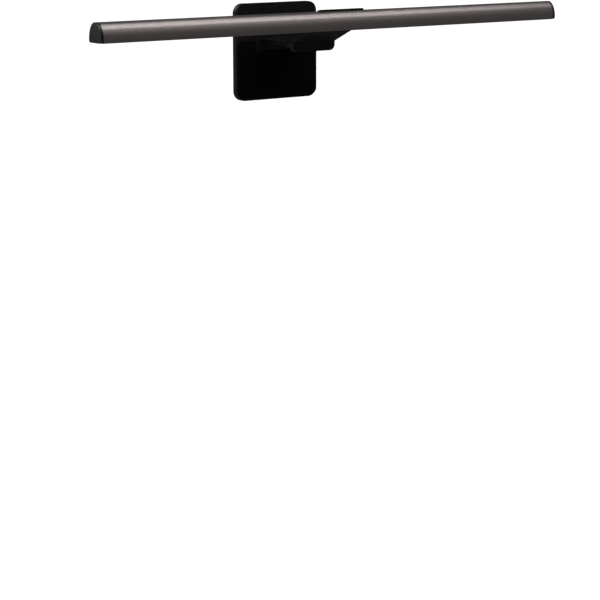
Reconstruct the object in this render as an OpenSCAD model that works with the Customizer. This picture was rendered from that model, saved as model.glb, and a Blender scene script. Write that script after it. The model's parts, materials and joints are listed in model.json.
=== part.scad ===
// Light bar that stands on the top edge of a computer screen.
// The origin is the middle of the seat pad, on the screen's top edge: X runs along
// the bar, Y goes back over the screen and Z is up. All sizes are millimetres.

/* [Light bar] */
// Length of the bar with both end caps
bar_length = 500; // [420:10:560]
// Depth of the bar from front to back
bar_depth = 19.5; // [19.5:0.5:22]
// Height of the bar
bar_height = 17; // [17:0.2:20]
// Wall of the aluminium extrusion
bar_wall = 1.3; // [1:0.1:1.4]
// Thickness of each end cap
cap_thickness = 2.8; // [2:0.2:4]
// Number of light chips along the bar
chip_count = 48; // [24:4:60]

/* [Clamp] */
// Width of the arm, the neck and the front lip
arm_width = 47; // [45:0.2:60]
// Height of the arm above the screen's top edge
arm_height = 6; // [6:0.5:8]
// Length of the seat pad from front to back
seat_length = 40; // [36:1:44]
// Depth of the lip below the screen's top edge
lip_drop = 3; // [3:0.1:8]
// Slope of the neck above level
neck_slope = 23.6; // [23:0.2:26]
// Distance from the screen's front face to the back of the bar
bar_gap = 37; // [36:0.5:38]
// Height of the bar's underside above the screen's top edge
bar_rise = 18.5; // [18:0.5:19.5]

/* [Rear module] */
// Width of the rear module
module_width = 90.4; // [84:0.2:110]
// Height of the rear module
module_height = 89; // [85:1:100]
// Height of the module's top above the screen's top edge
module_top = 38; // [36:0.2:42]
// Radius of the module's corners
module_corner = 9; // [5:0.5:12]
// Depth of the module's straight edge
edge_depth = 6.5; // [5:0.5:8]
// Depth of the tapered back behind that edge
taper_depth = 14; // [14:0.5:18]
// How far the back face is set in on each side
taper_inset = 11; // [8:0.5:12]
// Gap between the lip pad and the module's front plate
clamp_gap = 51.8; // [50:0.2:60]

/* [Hidden] */
$fn = 64;

BRONZE = [0.30, 0.28, 0.27];
BLACK = [0.06, 0.06, 0.065];
SOFT_BLACK = [0.10, 0.10, 0.105];
RUBBER = [0.035, 0.035, 0.04];
STEEL = [0.62, 0.63, 0.65];
BOARD = [0.05, 0.22, 0.12];
WHITE_BOARD = [0.90, 0.90, 0.88];
CHIP = [0.95, 0.86, 0.45];
FROST = [0.93, 0.94, 0.92, 0.75];
BRASS = [0.80, 0.62, 0.28];
FILM = [0.55, 0.38, 0.12];

// How much a bore is larger in radius than the pin that turns in it
running = 0.05;
// Gap that keeps separate pieces apart
gap = 0.1;
// Radius of a bore that lets a small screw through
clear_r = 1.1;
// Added to a cut so that it passes right through a wall
over = 1;
// Thickness of every circuit board
board_t = 1;

// Bar section: half an ellipse standing on a short straight base
bar_y = -seat_length / 2 - bar_gap - bar_depth / 2;
bar_base = 2.4;
base_round = 2.2;
housing_length = bar_length - 2 * cap_thickness;
plug_length = 6;
plug_half = 4.2;
plug_z = 2.6;
plug_height = 11;
shelf_z = 8.8;
shelf_t = 1;
shelf_half = 4.9;
board_length = housing_length - 2 * (plug_length + 1);
led_half = 5.5;
chip = [3.5, 2.8, 0.7];
frame_t = 1.6;
lens_t = 1.5;
lens_half = 6.2;
window_half = 5.6;
lens_ledge = 0.5;
driver_z = 12.4;
driver_size = [120, 7];
nut_y = 6.6;
nut_t = 0.9;

// Saddle on the back of the bar, and the tilt axis behind it
saddle_t = 1.5;
saddle_front = -1.2;
tilt_r = 5;
tilt_back = 8.2;
tilt_up = 5.5;
tilt_y = -seat_length / 2 - bar_gap + tilt_back;
tilt_z = bar_rise + tilt_up;
tilt_pin_r = 1.75;
lug_half = 12;
knuckle_in = 12.6;
saddle_screw_x = 17;
saddle_screw_z = 4.5;
cap_t = 0.4;
web_half = 3.5;

// Neck: its underside starts at the top of the lip and climbs forward
screen_y = -seat_length / 2;
lip_t = 5;
pad_t = 1;
lip_front = screen_y - lip_t - pad_t;
lip_top = arm_height - 0.6;
lip_corner = 5.5;
skin_t = 1.6;
spine_t = 2.2;
neck_t = 6;
lug_clear = 0.5;
tongue = 3.1;
hook_end = 7.3;
bend_r = 20;
side_wall = 1.4;
top_wall = 1.2;
spine_half = arm_width / 2 - side_wall - gap;
spine_top = pad_t + 2.4;
pad_inset = 2;
cable_half = 5;
cable_t = 0.4;
screw_r = 0.8;
head_r = 1.9;
head_t = 0.9;
hex_depth = 0.5;
cover_screws = [for (y = [18, 36]) [14, screen_y + y]];
hook_screws = [[13, screen_y + 3.5]];

// Rear hinge at the back end of the arm
hinge_setback = 5.8;
hinge_r = arm_height / 2;
hinge_y = screen_y + clamp_gap - hinge_setback;
hinge_z = arm_height / 2;
hinge_pin_r = 1.5;
arm_end = hinge_y - hinge_r - 0.8;

// Rear module
plate_t = 2.2;
shell_t = 1.8;
plate_y = screen_y + clamp_gap;
shell_y = plate_y + plate_t;
back_y = plate_y + edge_depth + taper_depth;
module_z = module_top - module_height / 2;
module_low = module_z - module_height / 2;
backing_t = 1.5;
thread_r = 0.9;
rear_pad_t = 1.2;
rear_pad_low = module_low + 2;
rear_pad_top = 4;
rear_pad_corner = module_corner - 3;
notch_w = arm_width + 2.6;
notch_z = -6;
groove_pitch = 4;
bracket_t = 1.2;
flange = [24, 16];
flange_z = 3;
bracket_screw_at = [8, 5.8];
window = [56, 48];
window_z = module_z + 5.5;
window_r = 6;
diffuser_proud = 0.6;
port_z = module_z - 28;
port = [9, 3.2];
post_r = 2.6;
post_length = 8;
post_screw_r = 1.1;
post_head_r = 2.3;
module_screw_x = module_width / 2 - 9;
module_screw_zs = [module_low + 9, -1.5];
port_depth = 8;
inlet_y = back_y - port_depth - 2 * gap;
backlight_y = back_y - 6;
weight = [56, 6, 34];
weight_z = -24.5;

// A point on the neck: t along its underside from the lip, n above that underside
function neck(t, n) = [
    lip_front - t * cos(neck_slope) + n * sin(neck_slope),
    lip_top + t * sin(neck_slope) + n * cos(neck_slope)];

// How far a line n above the neck's underside runs before the tilt hinge's lugs
function neck_reach(n) =
    let (to_axis = [tilt_y, tilt_z] - neck(0, n),
         along = to_axis * [-cos(neck_slope), sin(neck_slope)],
         room = pow(tilt_r + lug_clear, 2) - to_axis * to_axis + along * along)
    room > 0 ? along - sqrt(room) : along;

neck_end = neck_reach(neck_t);
tongue_end = min(neck_end + tongue, neck_reach(skin_t));

// Where the line n above the neck's underside comes down to height z
function neck_foot(n, z) = neck((z - lip_top - n * cos(neck_slope)) / sin(neck_slope), n);

// Points along an arc, from angle a to angle b
function arc(centre, r, a, b, steps = 8) =
    [for (i = [0 : steps]) centre + r * [cos(a + (b - a) * i / steps),
                                         sin(a + (b - a) * i / steps)]];

// The hollow round the bend where the arm's top turns up into the neck
function bend(n, z, r) =
    let (foot = neck_foot(n, z), run = r * tan(neck_slope / 2))
    arc([foot[0] + run, z + r], r, 270, 270 - neck_slope);

// Extrude a Y-Z outline along X, about the middle plane or from x0 to x1
module along_x(x0, x1) {
    translate([x0, 0, 0]) rotate([90, 0, 90]) linear_extrude(x1 - x0) children();
}

// Extrude an X-Z outline back along Y, from y for a given depth
module along_y(y, depth) {
    translate([0, y + depth, 0]) rotate([90, 0, 0]) linear_extrude(depth) children();
}

module rod_x(x0, x1, y, z, r) {
    translate([x0, y, z]) rotate([0, 90, 0]) cylinder(h = x1 - x0, r = r);
}

module rod_y(y0, y1, x, z, r) {
    translate([x, y0, z]) rotate([-90, 0, 0]) cylinder(h = y1 - y0, r = r);
}

module both_sides() {
    children();
    mirror([1, 0, 0]) children();
}

// Rectangle with round corners, about its own middle
module rounded(w, h, r) {
    square([w - 2 * r, h], center = true);
    square([w, h - 2 * r], center = true);
    for (x = [-1, 1], y = [-1, 1])
        translate([x * (w / 2 - r), y * (h / 2 - r)]) circle(r);
}

// The bar's section in Y-Z, about the bar's own middle, larger by grow all round
module bar_section(grow = 0) {
    half = bar_depth / 2 + grow;
    crown = bar_height - bar_base + grow;
    translate([0, bar_base]) intersection() {
        scale([half, crown]) circle(1);
        translate([-half, 0]) square([2 * half, crown]);
    }
    translate([-half + base_round, 0]) square([2 * (half - base_round), bar_base]);
    translate([-half, base_round]) square([2 * half, bar_base - base_round]);
    for (side = [-1, 1])
        translate([side * (half - base_round), base_round]) circle(base_round);
}

// Put something drawn about the bar's own section where the bar is
module at_bar() {
    translate([0, bar_y, bar_rise]) children();
}

// ---- light bar -------------------------------------------------------------

module housing_section() {
    difference() {
        bar_section();
        translate([0, bar_base]) intersection() {
            scale([bar_depth / 2 - bar_wall, bar_height - bar_base - bar_wall]) circle(1);
            translate([-bar_depth / 2, 0]) square([bar_depth, bar_height]);
        }
        translate([-bar_depth / 2 + bar_wall, -over])
            square([bar_depth - 2 * bar_wall, bar_base + over + 0.01]);
    }
    // Shelves that carry the board with the light chips
    intersection() {
        bar_section(-bar_wall / 2);
        for (side = [-1, 1])
            translate([side < 0 ? -bar_depth / 2 : shelf_half, shelf_z])
                square([bar_depth / 2 - shelf_half, shelf_t]);
    }
}

module bar_housing() {
    color(BRONZE) at_bar() difference() {
        along_x(-housing_length / 2, housing_length / 2) housing_section();
        both_sides() rod_y(nut_y + nut_t, bar_depth / 2 + over, saddle_screw_x,
                           saddle_screw_z, clear_r);
    }
}

module end_cap() {
    color(SOFT_BLACK) at_bar() {
        along_x(housing_length / 2, bar_length / 2) bar_section();
        // Plug that slides into the extrusion
        along_x(housing_length / 2 - plug_length, housing_length / 2) intersection() {
            bar_section(-bar_wall - gap);
            translate([-plug_half, plug_z]) square([2 * plug_half, plug_height]);
        }
    }
}

module end_cap_left() {
    mirror([1, 0, 0]) end_cap();
}

module end_cap_right() {
    end_cap();
}

module bottom_frame() {
    frame_half = bar_depth / 2 - bar_wall - gap;
    color(BLACK) at_bar() difference() {
        along_x(-housing_length / 2, housing_length / 2) intersection() {
            translate([-frame_half, 0]) square([2 * frame_half, frame_t]);
            bar_section();
        }
        cube([board_length - 2, 2 * window_half, 3 * frame_t], center = true);
        translate([0, 0, lens_ledge + frame_t])
            cube([board_length + 2 * gap, 2 * (lens_half + gap / 2), 2 * frame_t],
                 center = true);
    }
}

module lens_strip() {
    color(FROST) at_bar() translate([0, 0, lens_ledge + lens_t / 2])
        cube([board_length, 2 * lens_half, lens_t], center = true);
}

module led_board() {
    color(WHITE_BOARD) at_bar() translate([0, 0, shelf_z + shelf_t + board_t / 2])
        cube([board_length, 2 * led_half, board_t], center = true);
}

module led_chips() {
    pitch = (board_length - 12) / chip_count;
    color(CHIP) at_bar() for (i = [0 : chip_count - 1])
        translate([(i - (chip_count - 1) / 2) * pitch, 0, shelf_z + shelf_t - chip[2] / 2])
            cube(chip, center = true);
}

// Trough that widens from the chips down to the lens, with a slot for the chips
module reflector() {
    skin = 0.5;
    high = shelf_z - 0.2;
    low = lens_ledge + lens_t + 0.2;
    top_half = 4.6;
    foot_half = 5.9;
    color(WHITE_BOARD) at_bar() difference() {
        along_x(-board_length / 2, board_length / 2) {
            polygon([[-top_half, high], [top_half, high], [foot_half, low],
                     [foot_half - skin, low], [top_half - skin, high - skin],
                     [skin - top_half, high - skin], [skin - foot_half, low],
                     [-foot_half, low]]);
        }
        translate([0, 0, high]) cube([board_length - 8, chip[1] + over, 2], center = true);
    }
}

module bar_driver_board() {
    color(BOARD) at_bar() translate([0, 0, driver_z + board_t / 2])
        cube([driver_size[0], driver_size[1], board_t], center = true);
}

module bar_board_parts() {
    color(BLACK) at_bar() translate([0, 0, driver_z + board_t + 0.5]) {
        for (x = [-48, -30, -12, 12, 30, 48])
            translate([x, 0, 0]) cube([6, 3.6, 1], center = true);
        cube([8, 3, 1], center = true);
    }
}

module nut_plate() {
    length = 2 * (saddle_screw_x + 4);
    height = 4.6;
    color(STEEL) at_bar() difference() {
        translate([-length / 2, nut_y, saddle_screw_z - height / 2 + 0.2])
            cube([length, nut_t, height]);
        both_sides() rod_y(nut_y - over, nut_y + nut_t + over, saddle_screw_x,
                           saddle_screw_z, screw_r);
    }
}

module saddle() {
    reach = tilt_back + bar_depth / 2;
    color(SOFT_BLACK) at_bar() difference() {
        union() {
            along_x(-arm_width / 2, arm_width / 2) intersection() {
                difference() {
                    bar_section(saddle_t);
                    bar_section();
                }
                translate([saddle_front, 1]) square([bar_depth, bar_height + saddle_t]);
            }
            along_x(-lug_half, lug_half) translate([bar_depth / 2, tilt_up - web_half])
                square([tilt_back, 2 * web_half]);
            rod_x(-lug_half, lug_half, reach, tilt_up, tilt_r);
        }
        rod_x(-arm_width, arm_width, reach, tilt_up, tilt_pin_r + running);
        both_sides() rod_y(bar_depth / 2 - over, bar_depth / 2 + saddle_t + over,
                           saddle_screw_x, saddle_screw_z, clear_r);
    }
}

module saddle_screws() {
    seat = bar_depth / 2 + saddle_t;
    color(STEEL) at_bar() both_sides() {
        rod_y(nut_y, seat, saddle_screw_x, saddle_screw_z, screw_r);
        difference() {
            rod_y(seat, seat + head_t, saddle_screw_x, saddle_screw_z, head_r);
            rod_y(seat + head_t - hex_depth, seat + head_t + over, saddle_screw_x,
                  saddle_screw_z, screw_r, $fn = 6);
        }
    }
}

// ---- clamp -----------------------------------------------------------------

// The whole arm and neck in Y-Z, from n0 above its underside on the neck and z0 on
// the level arm, up to n1 and z1
module arm_profile(n0, z0, n1, z1, end, round = bend_r, back = arm_end) {
    polygon(concat(
        [[back, z0], [back, z1]],
        bend(n1, z1, round),
        [neck(end, n1), neck(end, n0), neck_foot(n0, z0)]));
}

// Upright screw places on the left and the right of the arm
module arm_places(places) {
    for (at = places) both_sides() translate([at[0], at[1], 0]) children();
}

module arm_frame() {
    color(STEEL) difference() {
        union() {
            along_x(-spine_half, spine_half)
                arm_profile(skin_t, pad_t, skin_t + spine_t, spine_top, neck_end);
            both_sides() {
                // Ears that reach to the tilt axis
                along_x(knuckle_in, spine_half)
                    polygon([neck(neck_end - 1, skin_t), neck(neck_end - 1, skin_t + spine_t),
                             [tilt_y, tilt_z + 3], [tilt_y, tilt_z - 3]]);
                rod_x(knuckle_in, arm_width / 2 - cap_t, tilt_y, tilt_z, tilt_r);
                // Ears that reach to the rear hinge
                along_x(knuckle_in, spine_half)
                    translate([arm_end - 1, pad_t])
                        square([hinge_y - arm_end + 1, spine_top - pad_t]);
                rod_x(knuckle_in, spine_half, hinge_y, hinge_z, hinge_r);
            }
        }
        rod_x(-arm_width, arm_width, tilt_y, tilt_z, tilt_pin_r);
        rod_x(-arm_width, arm_width, hinge_y, hinge_z, hinge_pin_r);
        arm_places(cover_screws) screw_seat();
        arm_places(hook_screws) cylinder(h = arm_height - 1, r = screw_r);
    }
}

// Bore and head recess for an upright screw that goes in from below
module screw_seat() {
    cylinder(h = 3 * arm_height, r = screw_r + 2 * gap);
    cylinder(h = pad_t + head_t + gap, r = head_r + 2 * gap);
}

module arm_cover() {
    color(SOFT_BLACK) difference() {
        along_x(-arm_width / 2, arm_width / 2)
            arm_profile(skin_t, pad_t, neck_t, arm_height, neck_end);
        // Pocket for the frame and the cable, with posts left for the screws
        difference() {
            along_x(-spine_half - gap, spine_half + gap)
                arm_profile(skin_t - over, pad_t - over, neck_t - top_wall,
                            arm_height - top_wall, neck_end + over, bend_r + 1,
                            arm_end + over);
            arm_places(cover_screws) translate([0, 0, spine_top]) cylinder(h = 3, r = 2.4);
        }
        arm_places(cover_screws) cylinder(h = arm_height - 1, r = screw_r);
    }
}

// Skin under the neck, with a tongue that reaches on below the tilt hinge
module neck_cover() {
    color(SOFT_BLACK) along_x(-arm_width / 2, arm_width / 2)
        polygon([neck(hook_end + gap, 0), neck(tongue_end, 0),
                 neck(tongue_end, skin_t), neck(hook_end + gap, skin_t)]);
}

module front_hook() {
    lip_back = lip_front + lip_t;
    color(BLACK) difference() {
        intersection() {
            along_x(-arm_width / 2, arm_width / 2)
                polygon([[lip_front, -lip_drop], [lip_front, lip_top], neck(hook_end, 0),
                         neck(hook_end, skin_t), neck_foot(skin_t, pad_t),
                         [lip_back, pad_t], [lip_back, -lip_drop]]);
            // Rounds the two lower corners of the lip
            along_y(lip_front - neck_end, 2 * neck_end) translate([0, neck_end / 2 - lip_drop])
                rounded(arm_width, neck_end, lip_corner);
        }
        arm_places(hook_screws) screw_seat();
    }
}

module lip_pad() {
    low = 0.7 - lip_drop;
    color(RUBBER) along_y(screen_y - pad_t, pad_t) translate([0, (low - gap) / 2])
        rounded(arm_width - 2 * pad_inset, -gap - low, 1);
}

module seat_pad() {
    color(RUBBER) difference() {
        translate([0, gap / 2, pad_t / 2])
            cube([arm_width - 2 * pad_inset, seat_length - gap, pad_t], center = true);
        // Grip grooves
        for (y = [-17.5 : 5 : 17.5])
            translate([0, y, 0]) cube([arm_width, 1, 0.8], center = true);
    }
}

// A line that follows the top of the frame, lifted a little above it
function over_frame(lift) =
    let (n = skin_t + spine_t + lift, z = spine_top + lift)
    concat([[arm_end, z]], bend(n, z, bend_r), [neck(neck_end - 1, n)]);

module flex_cable() {
    top = over_frame(gap + cable_t);
    color(FILM) along_x(-cable_half, cable_half)
        polygon(concat(over_frame(gap), [for (i = [len(top) - 1 : -1 : 0]) top[i]]));
}

module arm_screws() {
    color(STEEL) arm_places(concat(cover_screws, hook_screws)) translate([0, 0, pad_t])
        difference() {
            union() {
                cylinder(h = arm_height - pad_t - 1, r = screw_r);
                cylinder(h = head_t, r = head_r);
            }
            translate([0, 0, -over]) cylinder(h = over + hex_depth, r = screw_r, $fn = 6);
        }
}

module tilt_pin() {
    color(STEEL) rod_x(cap_t - arm_width / 2, arm_width / 2 - cap_t, tilt_y, tilt_z,
                       tilt_pin_r);
}

module ring_x(x0, x1, y, z, r_out, r_in) {
    difference() {
        rod_x(x0, x1, y, z, r_out);
        rod_x(x0 - over, x1 + over, y, z, r_in);
    }
}

module tilt_washers() {
    color(BRASS) both_sides() ring_x(lug_half + gap, knuckle_in, tilt_y, tilt_z, 4.2,
                                     tilt_pin_r + 0.02);
}

module tilt_caps() {
    color(SOFT_BLACK) both_sides() rod_x(arm_width / 2 - cap_t, arm_width / 2, tilt_y,
                                         tilt_z, tilt_r - cap_t);
}

module hinge_pin() {
    color(STEEL) rod_x(-spine_half, spine_half, hinge_y, hinge_z, hinge_pin_r);
}

module hinge_washers() {
    color(BRASS) both_sides() ring_x(lug_half + gap, knuckle_in, hinge_y, hinge_z, 2.6,
                                     hinge_pin_r + 0.02);
}

// ---- rear module -----------------------------------------------------------

module module_outline(inset = 0) {
    translate([0, module_z])
        rounded(module_width - 2 * inset, module_height - 2 * inset,
                max(module_corner - inset / 2, 2));
}

// Outside of the module behind its front plate: a straight edge and a tapered back
module module_body(inset = 0, front = shell_y) {
    taper_y = plate_y + edge_depth;
    sliver = 0.01;
    along_y(front, taper_y - front + sliver) module_outline(inset);
    hull() {
        along_y(taper_y - sliver, sliver) module_outline(inset, $fn = 32);
        along_y(back_y - inset - sliver, sliver) module_outline(taper_inset + inset, $fn = 32);
    }
}

module hinge_bracket() {
    web = 4;
    color(STEEL) difference() {
        union() {
            along_y(plate_y, bracket_t) translate([0, flange_z]) square(flange, center = true);
            along_x(-lug_half, lug_half) translate([hinge_y, hinge_z - web / 2])
                square([plate_y - hinge_y + bracket_t / 2, web]);
            rod_x(-lug_half, lug_half, hinge_y, hinge_z, hinge_r);
        }
        rod_x(-arm_width, arm_width, hinge_y, hinge_z, hinge_pin_r + running);
        bracket_screw_places() rod_y(plate_y - over, shell_y, 0, 0, clear_r);
    }
}

module bracket_screw_places() {
    for (side = [-1, 1]) both_sides()
        translate([bracket_screw_at[0], 0, flange_z + side * bracket_screw_at[1]]) children();
}

module bracket_screws() {
    color(STEEL) bracket_screw_places() {
        rod_y(plate_y, shell_y + backing_t, 0, 0, thread_r);
        difference() {
            rod_y(plate_y - head_t, plate_y, 0, 0, head_r);
            rod_y(plate_y - head_t - over, plate_y - head_t + hex_depth, 0, 0, screw_r,
                  $fn = 6);
        }
    }
}

module backing_plate() {
    color(STEEL) difference() {
        along_y(shell_y, backing_t) translate([0, flange_z]) square(flange, center = true);
        bracket_screw_places() rod_y(shell_y - over, shell_y + backing_t + over, 0, 0,
                                     thread_r);
    }
}

module module_front_plate() {
    color(SOFT_BLACK) difference() {
        along_y(plate_y, plate_t) module_outline();
        along_y(plate_y - over, over + bracket_t) translate([0, flange_z])
            square([flange[0] + 2 * gap, flange[1] + 2 * gap], center = true);
        bracket_screw_places() rod_y(plate_y - over, shell_y + over, 0, 0, clear_r);
        module_screw_places() {
            rod_y(plate_y - over, shell_y + over, 0, 0, post_screw_r + 3 * gap);
            rod_y(plate_y - over, plate_y + plate_t / 2, 0, 0, post_head_r + 2 * gap);
        }
    }
}

module module_screw_places() {
    for (z = module_screw_zs) both_sides() translate([module_screw_x, 0, z]) children();
}

module rear_pad() {
    height = rear_pad_top - rear_pad_low;
    pad_y = plate_y - rear_pad_t;
    color(RUBBER) difference() {
        along_y(pad_y, rear_pad_t) translate([0, rear_pad_low + height / 2])
            rounded(module_width - 1, height, rear_pad_corner);
        // Notch that clears the arm's hinge
        along_y(pad_y - over, rear_pad_t + 2 * over) translate([-notch_w / 2, notch_z])
            square([notch_w, height]);
        // Grip grooves
        for (z = [rear_pad_low + 6 : groove_pitch : notch_z - 2])
            translate([0, pad_y, z]) cube([module_width - 16, 1, 1.2], center = true);
    }
}

module module_back_shell() {
    color(BLACK) difference() {
        union() {
            difference() {
                module_body();
                module_body(shell_t, shell_y - over);
            }
            // Posts for the screws, tied to the side walls
            intersection() {
                module_body();
                module_screw_places() {
                    rod_y(shell_y, shell_y + post_length, 0, 0, post_r);
                    translate([0, shell_y, -1])
                        cube([module_width / 2 - module_screw_x, post_length, 2]);
                }
            }
        }
        module_screw_places() rod_y(shell_y - over, shell_y + post_length - 2, 0, 0,
                                    post_screw_r);
        through_back() translate([0, window_z]) rounded(window[0], window[1], window_r);
        through_back() translate([0, port_z]) slot(port[0] + 0.6, port[1] + 0.6);
    }
}

// A cut right through the module's back face
module through_back() {
    along_y(back_y - 2 * shell_t, 4 * shell_t) children();
}

// Rectangle whose two ends are almost half round
module slot(w, h) {
    rounded(w, h, h / 2 - 0.05);
}

// Light panel that stands a little proud of the back face, with a flange behind it
module back_diffuser() {
    flange_t = 1;
    brim = 1.5;
    color(FROST) {
        along_y(back_y - shell_t, shell_t + diffuser_proud) translate([0, window_z])
            rounded(window[0] - 2 * gap, window[1] - 2 * gap, window_r - gap);
        along_y(back_y - shell_t - flange_t, flange_t) translate([0, window_z])
            rounded(window[0] + 2 * brim, window[1] + 2 * brim, window_r + 1);
    }
}

module backlight_board() {
    color(WHITE_BOARD) along_y(backlight_y - board_t, board_t) translate([0, window_z])
        rounded(window[0] - 2, window[1] - 2, window_r - 2);
}

module backlight_chips() {
    pitch = 9;
    color(CHIP) for (x = [-2.5 : 2.5], z = [-2 : 2])
        translate([x * pitch, backlight_y + chip[2] / 2, window_z + z * pitch])
            cube([chip[0], chip[2], chip[1]], center = true);
}

module counterweight() {
    color(STEEL) along_y(shell_y + 0.6, weight[1]) translate([0, weight_z])
        rounded(weight[0], weight[2], 3);
}

module module_driver_board() {
    color(BOARD) along_y(inlet_y - board_t, board_t) translate([0, weight_z + 0.5])
        rounded(weight[0] - 4, weight[2] - 4, 1);
}

module module_board_parts() {
    color(BLACK) {
        for (x = [-20, 20]) translate([x, inlet_y + 1, port_z + 1])
            cube([8, 2, 8], center = true);
        for (x = [-10.5, 10.5]) rod_y(inlet_y, inlet_y + 3, x, port_z, 2.5);
    }
}

// Metal shell of the inlet and the contact tongue inside it
module usb_c_port() {
    metal = 0.35;
    floor_t = 1.2;
    color(STEEL) difference() {
        along_y(inlet_y, port_depth) translate([0, port_z]) slot(port[0], port[1]);
        along_y(inlet_y + floor_t, port_depth) translate([0, port_z])
            slot(port[0] - 2 * metal, port[1] - 2 * metal);
    }
    color(BLACK) along_y(inlet_y + floor_t - gap, 5) translate([0, port_z])
        square([6.6, 0.7], center = true);
}

module module_screws() {
    head_low = plate_y + gap;
    color(STEEL) module_screw_places() {
        rod_y(plate_y + plate_t / 2, shell_y + post_length - 2, 0, 0, post_screw_r);
        difference() {
            rod_y(head_low, plate_y + plate_t / 2, 0, 0, post_head_r);
            rod_y(head_low - over, head_low + hex_depth, 0, 0, 1, $fn = 6);
        }
    }
}

bar_housing();
end_cap_left();
end_cap_right();
bottom_frame();
lens_strip();
led_board();
led_chips();
reflector();
bar_driver_board();
bar_board_parts();
nut_plate();
saddle();
saddle_screws();
arm_frame();
arm_cover();
neck_cover();
front_hook();
lip_pad();
seat_pad();
flex_cable();
arm_screws();
tilt_pin();
tilt_washers();
tilt_caps();
hinge_pin();
hinge_washers();
hinge_bracket();
bracket_screws();
backing_plate();
module_front_plate();
rear_pad();
module_back_shell();
back_diffuser();
backlight_board();
backlight_chips();
counterweight();
module_driver_board();
module_board_parts();
usb_c_port();
module_screws();
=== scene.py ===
"""Looks of the monitor light bar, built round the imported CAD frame. Lengths are in metres."""

import json
import math

import bmesh
import bpy
from mathutils import Matrix, Vector


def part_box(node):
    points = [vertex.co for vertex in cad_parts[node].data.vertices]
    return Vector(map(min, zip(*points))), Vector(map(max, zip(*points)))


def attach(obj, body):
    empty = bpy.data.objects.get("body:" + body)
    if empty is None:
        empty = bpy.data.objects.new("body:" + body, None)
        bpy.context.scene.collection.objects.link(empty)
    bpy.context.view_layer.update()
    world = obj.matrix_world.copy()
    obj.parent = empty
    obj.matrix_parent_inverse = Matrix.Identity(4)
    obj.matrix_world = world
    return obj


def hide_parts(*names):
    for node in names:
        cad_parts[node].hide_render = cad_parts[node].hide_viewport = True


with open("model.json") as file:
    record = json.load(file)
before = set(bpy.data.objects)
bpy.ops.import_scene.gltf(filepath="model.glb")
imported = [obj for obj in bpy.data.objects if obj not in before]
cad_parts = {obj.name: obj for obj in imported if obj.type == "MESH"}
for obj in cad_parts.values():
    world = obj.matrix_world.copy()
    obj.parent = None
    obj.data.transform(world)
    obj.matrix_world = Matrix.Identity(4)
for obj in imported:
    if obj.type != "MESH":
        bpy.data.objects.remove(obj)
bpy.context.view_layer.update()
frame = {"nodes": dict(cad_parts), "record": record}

MM = 0.001

# ---- camera ------------------------------------------------------------------

CAMERA_AT = Vector((-0.9911, -1.3657, 0.1389))
CAMERA_YAW = math.radians(36.056)  # turned from straight ahead towards the right
CAMERA_PITCH = math.radians(12.605)  # looking down
CAMERA_LENS = 109.85  # focal length in millimetres
SENSOR = 36.0  # sensor width in millimetres


def make_camera():
    data = bpy.data.cameras.new("camera")
    data.lens = CAMERA_LENS
    data.sensor_width = SENSOR
    data.clip_start = 0.05
    data.clip_end = 400.0
    camera = bpy.data.objects.new("camera", data)
    camera.location = CAMERA_AT
    camera.rotation_euler = (math.pi / 2 - CAMERA_PITCH, 0.0, -CAMERA_YAW)
    bpy.context.scene.collection.objects.link(camera)
    bpy.context.scene.camera = camera


make_camera()

# ---- places worked out from the frame ------------------------------------------

BODIES = frame["record"]["behaviour"]["bodies"]
BODY_OF = {node: body for body, nodes in BODIES.items() for node in nodes}
SLOT_OF = {row["node"]: row["material_slot"] for row in frame["record"]["subparts"]}

housing_low, housing_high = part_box("bar_housing")
BAR_Y = (housing_low.y + housing_high.y) / 2
BAR_Z = housing_low.z
BAR_HALF = (housing_high.y - housing_low.y) / 2
BAR_HEIGHT = housing_high.z - housing_low.z
BAR_BASE = 2.4 * MM  # height of the straight part under the half ellipse
BAR_CORNER = 2.2 * MM  # radius of the two lower corners
BAR_WALL = 1.3 * MM  # wall of the extrusion


# ---- mesh helpers ----------------------------------------------------------------


def add_piece(mesh, node):
    """Link a mesh as the piece that stands for a CAD node, with its body."""
    piece = bpy.data.objects.new(mesh.name, mesh)
    bpy.context.scene.collection.objects.link(piece)
    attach(piece, BODY_OF[node])
    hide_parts(node)
    return piece


def shade(mesh, angle):
    """Smooth shading, except at edges sharper than the angle in degrees."""
    mesh.shade_smooth()
    mesh.set_sharp_from_angle(angle=math.radians(angle))


def mesh_from(name, bm):
    """The finished mesh of an edit mesh, with its faces turned outwards."""
    bmesh.ops.recalc_face_normals(bm, faces=bm.faces)
    mesh = bpy.data.meshes.new(name)
    bm.to_mesh(mesh)
    bm.free()
    return mesh


WELD = 0.001 * MM  # points closer than this are one point
FLAT = math.radians(0.6)  # faces that meet at less than this are one face
SHARP = math.radians(28.0)  # edges sharper than this are rounded
ROUND_SEGMENTS = 3


def bevel_sharp(bm, width):
    """Round every sharp edge."""
    edges = [e for e in bm.edges if len(e.link_faces) == 2 and e.calc_face_angle(0.0) > SHARP]
    bmesh.ops.bevel(
        bm,
        geom=edges,
        offset=width,
        offset_type="OFFSET",
        segments=ROUND_SEGMENTS,
        profile=0.5,
        affect="EDGES",
        clamp_overlap=True,
    )


def rounded_copy(node, width):
    """A finished piece made from a CAD node: its flat faces merged and its edges rounded."""
    bm = bmesh.new()
    bm.from_mesh(frame["nodes"][node].data)
    bmesh.ops.remove_doubles(bm, verts=bm.verts, dist=WELD)
    bmesh.ops.dissolve_limit(bm, angle_limit=FLAT, verts=bm.verts, edges=bm.edges)
    bevel_sharp(bm, width)
    mesh = mesh_from(node + "_piece", bm)
    shade(mesh, 35.0)
    piece = add_piece(mesh, node)
    normals = piece.modifiers.new("normals", "WEIGHTED_NORMAL")
    normals.keep_sharp = True
    return piece


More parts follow.
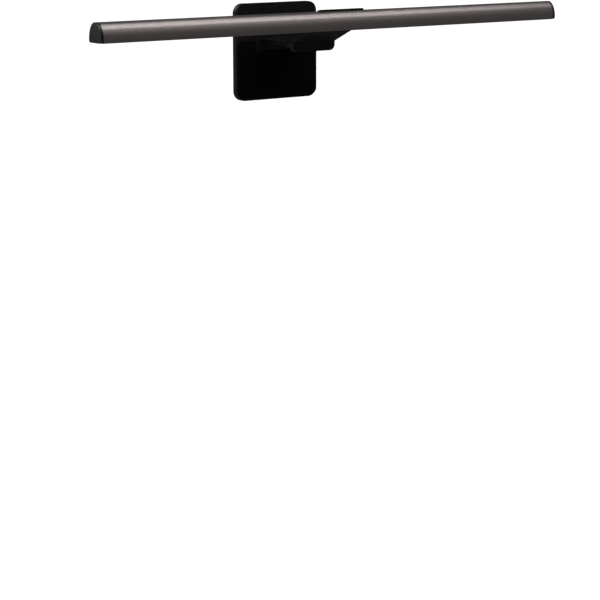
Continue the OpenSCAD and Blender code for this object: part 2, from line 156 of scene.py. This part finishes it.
def loft(name, rings):
    """A mesh through rings of points that all have the same count, with both ends filled."""
    bm = bmesh.new()
    made = [[bm.verts.new(p) for p in ring] for ring in rings]
    count = len(rings[0])
    for a, b in zip(made, made[1:]):
        for i in range(count):
            j = (i + 1) % count
            bm.faces.new((a[i], a[j], b[j], b[i]))
    bm.faces.new(made[0])
    bm.faces.new(list(reversed(made[-1])))
    return mesh_from(name, bm)


# ---- the bar's section -------------------------------------------------------------

BAR_STEPS = 96  # straight steps over the extrusion's half ellipse
CAP_STEPS = 64  # and over a cap's
CORNER_STEPS = 6
END_STEPS = 5


def quarter_turn(steps):
    """Angles in even steps from zero to a right angle."""
    return [math.pi / 2 * i / steps for i in range(steps + 1)]


def half_ellipse(half, crown, steps):
    """Points over the top of a half ellipse, from the front to the back."""
    return [
        (-half * math.cos(math.pi * i / steps), BAR_BASE + crown * math.sin(math.pi * i / steps))
        for i in range(steps + 1)
    ]


def outer_path(shrink, steps):
    """The bar's outside in Y-Z about its own middle, made smaller all round by the shrink.
    It runs from the front bottom edge over the top to the back bottom edge."""
    half = BAR_HALF - shrink
    crown = BAR_HEIGHT - BAR_BASE - shrink
    radius = BAR_CORNER
    corner = [(radius * math.sin(turn), radius * math.cos(turn)) for turn in quarter_turn(CORNER_STEPS)]
    front = [(-half + radius - dy, shrink + radius - dz) for dy, dz in corner]
    back = [(half - radius + dy, shrink + radius - dz) for dy, dz in reversed(corner)]
    return front + half_ellipse(half, crown, steps) + back


def at_bar(x, path):
    """A path in the bar's section as points at a place along the bar."""
    return [Vector((x, BAR_Y + y, BAR_Z + z)) for y, z in path]


def end_round(end, radius):
    """(place along the bar, shrink of the section) round an end with a rounded edge."""
    return [
        (end - radius + radius * math.sin(turn), radius * (1 - math.cos(turn)))
        for turn in quarter_turn(END_STEPS)
    ]


# ---- materials ---------------------------------------------------------------------

NOISE_LOW = 0.3  # most of a noise lies between these two values
NOISE_HIGH = 0.7


class Nodes:
    """A short way to write the node tree of one material, with sizes in metres."""

    def __init__(self, name):
        self.material = bpy.data.materials.new(name)
        self.material.use_nodes = True
        self.tree = self.material.node_tree
        self.shader = self.tree.nodes["Principled BSDF"]
        self.where = self.tree.nodes.new("ShaderNodeTexCoord").outputs["Object"]

    def add(self, kind, **values):
        """A new node. A value sets the input of that name, or else the property."""
        node = self.tree.nodes.new(kind)
        for key, value in values.items():
            if key in node.inputs:
                node.inputs[key].default_value = value
            else:
                setattr(node, key, value)
        return node

    def link(self, output, target):
        self.tree.links.new(output, target)

    def noise(self, size, detail, stretch=(1.0, 1.0, 1.0), rough=0.5):
        """Noise with features of about the given size; stretch lengthens it along X, Y or Z."""
        place = self.add("ShaderNodeMapping", Scale=[1.0 / (size * s) for s in stretch])
        self.link(self.where, place.inputs["Vector"])
        noise = self.add("ShaderNodeTexNoise", Scale=1.0, Detail=detail, Roughness=rough)
        self.link(place.outputs["Vector"], noise.inputs["Vector"])
        return noise.outputs["Fac"]

    def spread(self, noise, low, high):
        """Map the usual range of a noise to the range from low to high."""
        out = self.add("ShaderNodeMapRange")
        ranges = {"From Min": NOISE_LOW, "From Max": NOISE_HIGH, "To Min": low, "To Max": high}
        for key, number in ranges.items():
            out.inputs[key].default_value = number
        self.link(noise, out.inputs["Value"])
        return out.outputs["Result"]

    def blend(self, noise, colour_a, colour_b):
        """Map the usual range of a noise to a blend of the first colour into the second."""
        ramp = self.add("ShaderNodeValToRGB")
        low, high = ramp.color_ramp.elements
        low.position, low.color = NOISE_LOW, (*colour_a, 1.0)
        high.position, high.color = NOISE_HIGH, (*colour_b, 1.0)
        self.link(noise, ramp.inputs["Fac"])
        return ramp.outputs["Color"]

    def bump(self, height, distance, strength, base=None):
        """A normal that makes the height stand out by the distance, on top of any base normal."""
        bump = self.add("ShaderNodeBump", Strength=strength, Distance=distance)
        self.link(height, bump.inputs["Height"])
        if base is not None:
            self.link(base, bump.inputs["Normal"])
        return bump.outputs["Normal"]

    def set(self, **values):
        """Give the shader's inputs their values or links. An underscore stands for a space."""
        for key, value in values.items():
            socket = self.shader.inputs[key.replace("_", " ")]
            if isinstance(value, bpy.types.NodeSocket):
                self.link(value, socket)
            else:
                socket.default_value = value
        return self.material


def tinted(colour, factor):
    """The colour made darker or lighter."""
    return tuple(min(1.0, c * factor) for c in colour)


def anodised(name, colour):
    """Satin anodised aluminium: blasted grain, faint drawing lines and slow tint drift."""
    n = Nodes(name)
    drift = n.noise(35 * MM, 3.0, (3.0, 1.0, 1.0))
    grain = n.noise(0.16 * MM, 2.0)
    lines = n.noise(0.25 * MM, 2.0, (160.0, 1.0, 1.0))
    return n.set(
        Base_Color=n.blend(drift, tinted(colour, 0.94), tinted(colour, 1.06)),
        Metallic=1.0,
        Roughness=n.spread(lines, 0.335, 0.355),
        Normal=n.bump(grain, 0.003 * MM, 0.4),
    )


def plastic(name, colour, roughness, grain_size=0.28, depth=0.012, gloss=0.35):
    """Moulded plastic with a fine spark-eroded texture and slight handling marks. The
    grain's size and depth are in millimetres."""
    n = Nodes(name)
    mottle = n.noise(9 * MM, 4.0)
    grain = n.noise(grain_size * MM, 3.0, rough=0.6)
    return n.set(
        Base_Color=n.blend(mottle, tinted(colour, 0.86), tinted(colour, 1.14)),
        Roughness=n.spread(mottle, roughness - 0.05, roughness + 0.06),
        Normal=n.bump(grain, depth * MM, 0.8),
        Specular_IOR_Level=gloss,
    )


def rubber(name, colour):
    """Silicone: dull, with a faint dusty tone and a soft uneven skin."""
    n = Nodes(name)
    dust = n.noise(2.5 * MM, 5.0, rough=0.65)
    skin = n.noise(0.5 * MM, 3.0)
    return n.set(
        Base_Color=n.blend(dust, tinted(colour, 0.8), tinted(colour, 1.5)),
        Roughness=n.spread(dust, 0.68, 0.82),
        Normal=n.bump(skin, 0.01 * MM, 0.7),
        Specular_IOR_Level=0.08,
    )


def frosted(name, colour):
    """Frosted acrylic that lets the chips behind it show as soft spots."""
    n = Nodes(name)
    haze = n.noise(4 * MM, 3.0)
    grain = n.noise(0.12 * MM, 2.0)
    return n.set(
        Base_Color=n.blend(haze, tinted(colour, 0.97), colour),
        Roughness=n.spread(grain, 0.38, 0.50),
        Normal=n.bump(grain, 0.008 * MM, 0.6),
        Transmission_Weight=0.55,
        IOR=1.49,
    )


def brushed(name, colour, roughness=0.32, stretch=(24.0, 1.0, 1.0)):
    """Plated or plain metal with fine brushing along the way of the stretch."""
    n = Nodes(name)
    lines = n.noise(0.12 * MM, 3.0, stretch)
    stain = n.noise(6 * MM, 4.0)
    return n.set(
        Base_Color=n.blend(stain, tinted(colour, 0.88), tinted(colour, 1.06)),
        Metallic=1.0,
        Roughness=n.spread(lines, roughness - 0.06, roughness + 0.10),
        Normal=n.bump(lines, 0.004 * MM, 0.5),
    )


def powder_coat(name, colour):
    """Black powder coat on steel: a fine orange peel."""
    n = Nodes(name)
    peel = n.noise(0.7 * MM, 2.0)
    fine = n.noise(0.2 * MM, 2.0)
    return n.set(
        Base_Color=n.blend(peel, tinted(colour, 0.85), tinted(colour, 1.2)),
        Roughness=n.spread(peel, 0.42, 0.55),
        Normal=n.bump(fine, 0.006 * MM, 0.5, n.bump(peel, 0.02 * MM, 0.6)),
    )


TRACK_SCALE = (120.0, 300.0, 300.0)  # bricks per metre along X, Y and Z
MIX_COLOUR_A = 6  # the colour sockets of a mix node, whose names repeat
MIX_COLOUR_B = 7
MIX_COLOUR_OUT = 2


def circuit(name, mask, copper):
    """A circuit board: solder mask over faint copper tracks."""
    n = Nodes(name)
    tracks = n.add("ShaderNodeTexBrick", Scale=1.0)
    place = n.add("ShaderNodeMapping", Scale=TRACK_SCALE)
    n.link(n.where, place.inputs["Vector"])
    n.link(place.outputs["Vector"], tracks.inputs["Vector"])
    cloth = n.noise(0.6 * MM, 3.0)
    mix = n.add("ShaderNodeMix", data_type="RGBA")
    n.link(tracks.outputs["Fac"], mix.inputs["Factor"])
    n.link(n.blend(cloth, tinted(mask, 0.9), tinted(mask, 1.1)), mix.inputs[MIX_COLOUR_A])
    mix.inputs[MIX_COLOUR_B].default_value = (*copper, 1.0)
    return n.set(
        Base_Color=mix.outputs[MIX_COLOUR_OUT],
        Roughness=n.spread(cloth, 0.30, 0.42),
        Normal=n.bump(tracks.outputs["Fac"], 0.02 * MM, 0.4),
    )


def phosphor(name, colour):
    """The yellow phosphor of a light chip, with fine grains."""
    n = Nodes(name)
    grains = n.noise(0.15 * MM, 4.0, rough=0.7)
    return n.set(
        Base_Color=n.blend(grains, tinted(colour, 0.8), tinted(colour, 1.1)),
        Roughness=n.spread(grains, 0.35, 0.55),
        Normal=n.bump(grains, 0.01 * MM, 0.6),
    )


MATERIALS = {
    "bronze_aluminium": anodised("bronze_aluminium", (0.346, 0.309, 0.300)),
    "cap_plastic": plastic("cap_plastic", (0.010, 0.0097, 0.0093), 0.32, gloss=0.5),
    "soft_black_plastic": plastic("soft_black_plastic", (0.0105, 0.0101, 0.0097), 0.50, gloss=0.08),
    # Painted light: lighter than the other black plastics, standing in for light on the module's front
    # plate in the bar's shade.
    "plate_plastic_painted_light": plastic("plate_plastic_painted_light", (0.0165, 0.0159, 0.0153), 0.50, gloss=0.10),
    "shell_plastic": plastic("shell_plastic", (0.0105, 0.0104, 0.0105), 0.50, gloss=0.5),
    "black_plastic": plastic("black_plastic", (0.0064, 0.0064, 0.0068), 0.52, gloss=0.31),
    "silicone": rubber("silicone", (0.002, 0.002, 0.0022)),
    "frosted_lens": frosted("frosted_lens", (0.88, 0.89, 0.87)),
    "white_board": circuit("white_board", (0.80, 0.80, 0.77), (0.72, 0.71, 0.66)),
    "green_board": circuit("green_board", (0.012, 0.09, 0.045), (0.03, 0.16, 0.08)),
    "light_chip": phosphor("light_chip", (0.86, 0.68, 0.16)),
    "white_reflector": plastic("white_reflector", (0.78, 0.78, 0.78), 0.28, grain_size=0.5, depth=0.004),
    "component": plastic("component", (0.018, 0.018, 0.018), 0.42, grain_size=0.2, depth=0.006),
    "plated_steel": brushed("plated_steel", (0.52, 0.53, 0.55)),
    "frame_steel": powder_coat("frame_steel", (0.008, 0.008, 0.009)),
    "weight_steel": brushed("weight_steel", (0.34, 0.34, 0.35), 0.42, stretch=(1.0, 1.0, 30.0)),
    "spring_brass": brushed("spring_brass", (0.66, 0.46, 0.20), 0.30, stretch=(1.0, 1.0, 1.0)),
    "flex_film": plastic("flex_film", (0.36, 0.17, 0.03), 0.35, grain_size=0.6, depth=0.004),
}

# Pieces with a material of their own. The front plate's is painted light: a lighter copy of the black
# plastic that stands in for light on the plate, which sits in the bar's shade. The back shell's is a
# glossier black plastic. Every other piece has its slot's material.
PAINTED_LIGHT_OR_GLOSS_OF = {"module_front_plate": "plate_plastic_painted_light", "module_back_shell": "shell_plastic"}


def paint(piece, node):
    """Give a piece one material: the one its CAD node calls for, or else its own from the table above,
    which for the front plate is a painted-light copy of the black plastic.
    """
    piece.data.materials.clear()
    piece.data.materials.append(MATERIALS[PAINTED_LIGHT_OR_GLOSS_OF.get(node, SLOT_OF[node])])


# ---- light bar -----------------------------------------------------------------------

END_CHAMFER = 0.04 * MM  # on the extrusion's cut ends
CAP_SEAM = 0.08 * MM  # gap between the extrusion and a cap, and the chamfer on the cap's edge there
CAP_ROUND = 0.2 * MM  # on a cap's outer edge


def make_housing():
    """The D-section extrusion, hollow and open below, with a small chamfer at each cut end."""
    inner_half = BAR_HALF - BAR_WALL
    inner_crown = BAR_HEIGHT - BAR_BASE - BAR_WALL
    over = half_ellipse(inner_half, inner_crown, BAR_STEPS)
    inside = [(inner_half, 0.0), *reversed(over), (-inner_half, 0.0)]
    end = housing_high.x
    right = [(end - END_CHAMFER, 0.0), (end, END_CHAMFER)]
    left = [(-x, shrink) for x, shrink in reversed(right)]
    rings = [at_bar(x, outer_path(shrink, BAR_STEPS) + inside) for x, shrink in left + right]
    mesh = loft("bar_housing_piece", rings)
    shade(mesh, 32.0)
    paint(add_piece(mesh, "bar_housing"), "bar_housing")


def make_cap(side):
    """The end cap on one side, with a softened outer edge and a fine seam at the extrusion."""
    node = "end_cap_left" if side < 0 else "end_cap_right"
    low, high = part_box(node)
    outer_x = high.x if side > 0 else -low.x
    inner_x = housing_high.x + CAP_SEAM
    places = [(inner_x, CAP_SEAM), (inner_x + CAP_SEAM, 0.0), *end_round(outer_x, CAP_ROUND)]
    rings = [at_bar(side * x, outer_path(shrink, CAP_STEPS)) for x, shrink in places]
    mesh = loft(node + "_piece", rings)
    shade(mesh, 40.0)
    paint(add_piece(mesh, node), node)


make_housing()
for side in (-1, 1):
    make_cap(side)


# ---- everything else: CAD shapes, most of them with rounded edges ---------------------

EDGE_ROUNDS = {  # in millimetres
    "saddle": 0.30,
    "saddle_screws": 0.10,
    "bottom_frame": 0.15,
    "lens_strip": 0.15,
    "arm_frame": 0.20,
    "arm_cover": 1.00,
    "neck_cover": 0.22,
    "front_hook": 0.50,
    "lip_pad": 0.25,
    "seat_pad": 0.12,
    "tilt_caps": 0.15,
    "hinge_bracket": 0.20,
    "module_front_plate": 0.25,
    "rear_pad": 0.20,
    "module_back_shell": 0.35,
    "back_diffuser": 0.35,
    "usb_c_port": 0.06,
    "bracket_screws": 0.10,
    "module_screws": 0.10,
}

for node, width in EDGE_ROUNDS.items():
    paint(rounded_copy(node, width * MM), node)

# The CAD shapes that no piece above stands for
for node, obj in frame["nodes"].items():
    if not obj.hide_render:
        paint(obj, node)


# ---- floor and light -------------------------------------------------------------------

FLOOR_Z = -1.7
FLOOR_RADIUS = 15.0
FLOOR_SEGMENTS = 128
WALL_HEIGHT = 30.0
WHITE = (1.0, 1.0, 1.0, 1.0)
STRIP_REACH = 1.75  # from the bar to the middle of each strip light
STRIP_X = 0.50
STRIP_LENGTH = 2.4
NECK_TOP = (0.0, -0.03, 0.02)  # where the neck meets the arm
BAR_END = (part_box("end_cap_left")[0].x, BAR_Y, BAR_Z)  # the bar's left end
WORLD_STRENGTH = 0.108


def make_floor():
    """A round floor with a wall round it, both plain white to the camera and giving no light."""
    bm = bmesh.new()
    place = Matrix.Translation((0, 0, FLOOR_Z))
    disc = bmesh.ops.create_circle(
        bm, cap_ends=True, segments=FLOOR_SEGMENTS, radius=FLOOR_RADIUS, matrix=place
    )
    rim = {edge for vert in disc["verts"] for edge in vert.link_edges}
    wall = bmesh.ops.extrude_edge_only(bm, edges=list(rim))
    wall_top = [part for part in wall["geom"] if isinstance(part, bmesh.types.BMVert)]
    bmesh.ops.translate(bm, verts=wall_top, vec=(0.0, 0.0, WALL_HEIGHT))
    mesh = mesh_from("floor", bm)
    floor = bpy.data.objects.new("floor", mesh)
    bpy.context.scene.collection.objects.link(floor)
    material = bpy.data.materials.new("floor")
    material.use_nodes = True
    shader = material.node_tree.nodes["Principled BSDF"]
    shader.inputs["Base Color"].default_value = (0.9, 0.9, 0.9, 1.0)
    shader.inputs["Roughness"].default_value = 0.9
    shader.inputs["Emission Color"].default_value = WHITE
    shader.inputs["Emission Strength"].default_value = 1.0
    mesh.materials.append(material)
    floor.visible_glossy = False
    floor.visible_diffuse = False


def make_light(name, at, size, power, aim=NECK_TOP, level=False, spread=180.0):
    """A soft box that faces the aim. A level one keeps its long side parallel to the bar."""
    data = bpy.data.lights.new(name, "AREA")
    data.shape = "RECTANGLE"
    data.size, data.size_y = size
    data.energy = power
    data.spread = math.radians(spread)
    light = bpy.data.objects.new(name, data)
    light.location = at
    way = Vector(aim) - Vector(at)
    if level:
        way.x = 0.0
    light.rotation_euler = way.to_track_quat("-Z", "Y").to_euler()
    light.visible_camera = False
    bpy.context.scene.collection.objects.link(light)


def make_strip(name, elevation, width, power):
    """A long soft box in front of the bar and parallel to it, at an elevation in degrees."""
    angle = math.radians(elevation)
    y = BAR_Y - STRIP_REACH * math.cos(angle)
    z = BAR_Z + STRIP_REACH * math.sin(angle)
    make_light(name, (STRIP_X, y, z), (STRIP_LENGTH, width), power, level=True)


def make_world():
    """A faint even light from all sides."""
    world = bpy.data.worlds.new("world")
    world.use_nodes = True
    background = world.node_tree.nodes["Background"]
    background.inputs["Color"].default_value = WHITE
    background.inputs["Strength"].default_value = WORLD_STRENGTH
    bpy.context.scene.world = world


make_floor()
make_world()
make_strip("low", elevation=36, width=0.24, power=0.9)
make_strip("key", elevation=61.8, width=0.42, power=9.4)
make_strip("top", elevation=82, width=0.24, power=5.7)
make_light("back", at=(-0.9, 1.6, 1.4), size=(1.6, 1.0), power=15.0)
make_light("under", at=(-0.8, 0.3, -1.2), size=(1.4, 0.8), power=3.0)
make_light("end", at=(-0.62, 0.16, 0.24), size=(0.12, 0.12), power=0.072, aim=BAR_END, spread=26.0)

bpy.context.scene.view_settings.view_transform = "Standard"
